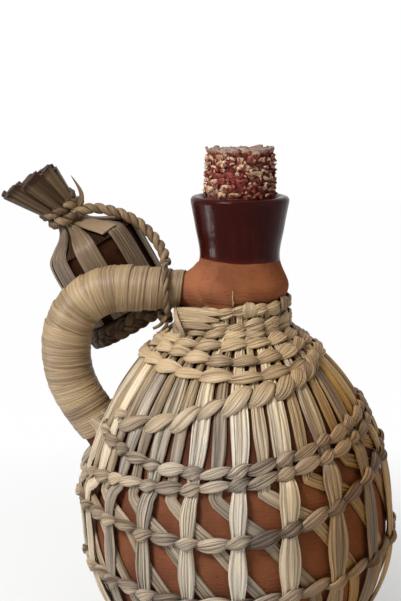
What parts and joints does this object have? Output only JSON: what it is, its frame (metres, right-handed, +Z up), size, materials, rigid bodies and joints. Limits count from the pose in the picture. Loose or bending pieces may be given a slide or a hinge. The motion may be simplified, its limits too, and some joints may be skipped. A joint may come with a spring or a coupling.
{
  "type": "wicker-wrapped clay carafe",
  "caption": "Clay carafe with a flared glazed mouth, corn-cob stopper and wound handle, wrapped in an openwork rush weave, with a small cup tied behind the handle by a twisted cord",
  "frame": {"origin": "centre of the round foot, on the surface the carafe stands on", "axes": "+Z up the axis of the jug, handle towards -X, the side in the picture towards -Y, cup behind the handle towards +Y"},
  "size_m": [0.1874, 0.1488, 0.226],
  "materials": {
    "terracotta": "bare fired clay, dark red-brown gloss glaze on the mouth",
    "corn_cob": "rough dry corn cob with pale chaff",
    "rush_stake": "dry ribbed leaf, satin",
    "rush_crossed": "dry ribbed leaf, satin",
    "rush_row": "dry twined leaf, satin",
    "rush_wrap": "dry flat leaf wound edge to edge, satin",
    "rush_cover": "dry weathered leaf, matte",
    "rush_cord": "two-ply twisted leaf, matte",
    "cup_glaze": "dark brown gloss glaze"
  },
  "bodies": {
    "jug": {"clay_body": "terracotta", "clay_handle": "terracotta", "upright_stake_01": "rush_stake", "upright_stake_02": "rush_stake", "upright_stake_03": "rush_stake", "upright_stake_04": "rush_stake", "upright_stake_05": "rush_stake", "upright_stake_06": "rush_stake", "upright_stake_07": "rush_stake", "upright_stake_08": "rush_stake", "upright_stake_09": "rush_stake", "upright_stake_10": "rush_stake", "upright_stake_11": "rush_stake", "upright_stake_12": "rush_stake", "upright_stake_13": "rush_stake", "upright_stake_14": "rush_stake", "upright_stake_15": "rush_stake", "upright_stake_16": "rush_stake", "upright_stake_17": "rush_stake", "upright_stake_18": "rush_stake", "upright_stake_19": "rush_stake", "upright_stake_20": "rush_stake", "crossed_stake_01": "rush_crossed", "crossed_stake_02": "rush_crossed", "crossed_stake_03": "rush_crossed", "crossed_stake_04": "rush_crossed", "crossed_stake_05": "rush_crossed", "crossed_stake_06": "rush_crossed", "crossed_stake_07": "rush_crossed", "crossed_stake_08": "rush_crossed", "crossed_stake_09": "rush_crossed", "crossed_stake_10": "rush_crossed", "crossed_stake_11": "rush_crossed", "crossed_stake_12": "rush_crossed", "crossed_stake_13": "rush_crossed", "crossed_stake_14": "rush_crossed", "crossed_stake_15": "rush_crossed", "crossed_stake_16": "rush_crossed", "crossed_stake_17": "rush_crossed", "crossed_stake_18": "rush_crossed", "crossed_stake_19": "rush_crossed", "crossed_stake_20": "rush_crossed", "neck_border": "rush_row", "neck_band": "rush_row", "shoulder_band": "rush_row", "belly_row_upper": "rush_row", "belly_row_lower": "rush_row", "lattice_row_1": "rush_row", "lattice_row_2": "rush_row", "foot_row": "rush_row", "shoulder_weaver": "rush_row", "handle_wrap": "rush_wrap"},
    "stopper": {"cob_stopper": "corn_cob"},
    "cup": {"glazed_cup": "cup_glaze", "cup_cover": "rush_cover", "cup_rim_braid": "rush_cover", "cup_cord": "rush_cord", "stem_binding": "rush_cord", "handle_tie": "rush_cord"}
  },
  "joints": [
    {"name": "stopper_pull", "type": "slide", "parent": "jug", "child": "stopper", "axis": [0, 0, 1], "range_m": [0, 0.04]},
    {"name": "cup_swing", "type": "hinge", "parent": "jug", "child": "cup", "pos_m": [-0.034, 0, 0.1615], "axis": [1, 0, 0], "range_deg": [0, 120]}
  ]
}
